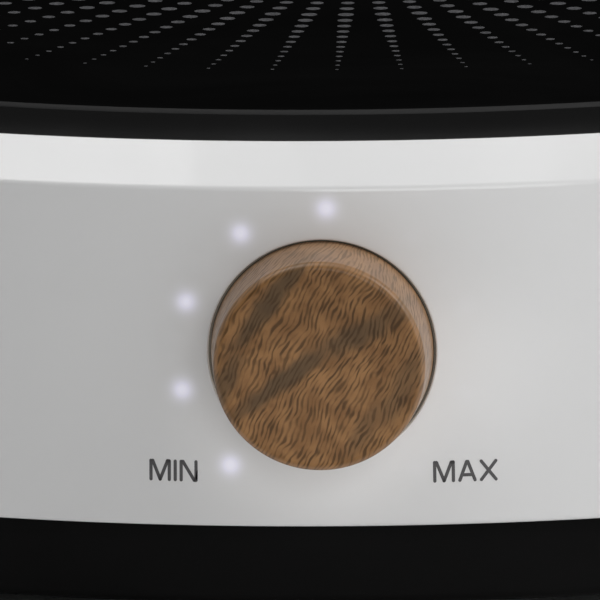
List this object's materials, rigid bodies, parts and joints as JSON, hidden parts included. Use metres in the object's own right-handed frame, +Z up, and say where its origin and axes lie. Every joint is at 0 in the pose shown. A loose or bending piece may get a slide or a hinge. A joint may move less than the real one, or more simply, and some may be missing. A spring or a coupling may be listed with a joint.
{
  "type": "induction cooktop",
  "caption": "Round portable induction cooktop: flat glass cooking zone in a white housing, turned and pressed by a wood-look dial on its side.",
  "frame": {"origin": "on the floor under the middle of the round body", "axes": "+Z up out of the glass, -Y out of the dial's face, +X to the right of someone facing the dial"},
  "size_m": [0.3004, 0.3216, 0.074],
  "materials": {
    "glass_black": "polished black glass-ceramic, opaque",
    "glass_print": "fired grey dots printed on the glass",
    "bezel_black": "high gloss moulded black",
    "housing_white": "high gloss moulded white",
    "legend_grey": "printed grey lettering",
    "base_black": "fine moulded texture",
    "seal_grey": "silicone",
    "foot_rubber": "matte",
    "screw_steel": "zinc plated",
    "former_brown": "heat resistant phenolic",
    "litz_copper": "enamelled stranded copper",
    "mica": "layered mica",
    "ferrite": "pressed ferrite",
    "sensor_ceramic": "unglazed white",
    "spring_steel": "bright drawn",
    "board_green": "solder mask",
    "board_dark": "dark solder mask",
    "aluminium": "extruded",
    "epoxy_black": "moulded epoxy",
    "film_blue": "moulded case",
    "film_yellow": "moulded case",
    "enamel_copper": "enamelled wire",
    "fuse_ceramic": "ceramic body",
    "plastic_black": "moulded",
    "terminal_green": "moulded",
    "lamp_white": "clear lens",
    "lamp_glow": "lit from behind",
    "diffuser": "frosted",
    "zinc": "die cast zinc, bare",
    "nylon_amber": "moulded",
    "nylon_white": "moulded",
    "wood_print": "wood grain print under clear lacquer",
    "gland_black": "moulded"
  },
  "bodies": {
    "root": {"glass_plate": "glass_black", "glass_seal": "seal_grey", "bezel_ring": "bezel_black", "housing_shell": "housing_white", "base_cover": "base_black", "coil_former": "former_brown", "litz_coil": "litz_copper", "mica_sheet": "mica", "thermistor_cap": "sensor_ceramic", "thermistor_spring": "spring_steel", "main_board": "board_green", "heat_sink": "aluminium", "power_transistor": "epoxy_black", "bridge_rectifier": "epoxy_black", "resonant_capacitor": "film_blue", "filter_capacitor": "film_yellow", "choke": "enamel_copper", "fuse": "fuse_ceramic", "buzzer": "plastic_black", "terminal_block": "terminal_green", "fan_frame": "plastic_black", "control_board": "board_dark", "light_guide": "diffuser", "light_collar": "plastic_black", "dial_switch_body": "plastic_black", "dial_switch_bushing": "zinc", "cord_gland": "gland_black", "gland_nut": "plastic_black", "foot_1": "foot_rubber", "base_screw_1": "screw_steel", "foot_2": "foot_rubber", "base_screw_2": "screw_steel", "foot_3": "foot_rubber", "base_screw_3": "screw_steel", "foot_4": "foot_rubber", "base_screw_4": "screw_steel", "ferrite_bar_1": "ferrite", "ferrite_bar_2": "ferrite", "ferrite_bar_3": "ferrite", "ferrite_bar_4": "ferrite", "ferrite_bar_5": "ferrite", "ferrite_bar_6": "ferrite", "led_1": "lamp_white", "led_2": "lamp_white", "led_3": "lamp_white", "led_4": "lamp_white", "led_5": "lamp_white", "led_6": "lamp_white", "led_7": "lamp_white", "led_8": "lamp_white", "led_9": "lamp_white"},
    "dial_rotor": {"dial_rotor": "nylon_amber"},
    "knob": {"knob_cap": "wood_print", "knob_hub": "nylon_white", "knob_clip": "spring_steel", "dial_shaft": "zinc"},
    "fan": {"fan_rotor": "plastic_black", "fan_shaft": "spring_steel"}
  },
  "joints": [
    {"name": "dial_turn", "type": "hinge", "parent": "root", "child": "dial_rotor", "pos_m": [0, 0, 0.0422], "axis": [0, 1, 0], "range_deg": [-140, 140]},
    {"name": "dial_press", "type": "slide", "parent": "dial_rotor", "child": "knob", "axis": [0, 1, 0], "range_m": [0, 0.0012], "stiffness_N_per_m": 400},
    {"name": "fan_spin", "type": "hinge", "parent": "root", "child": "fan", "pos_m": [-0.062, 0.035, 0], "axis": [0, 0, 1], "continuous": true}
  ]
}
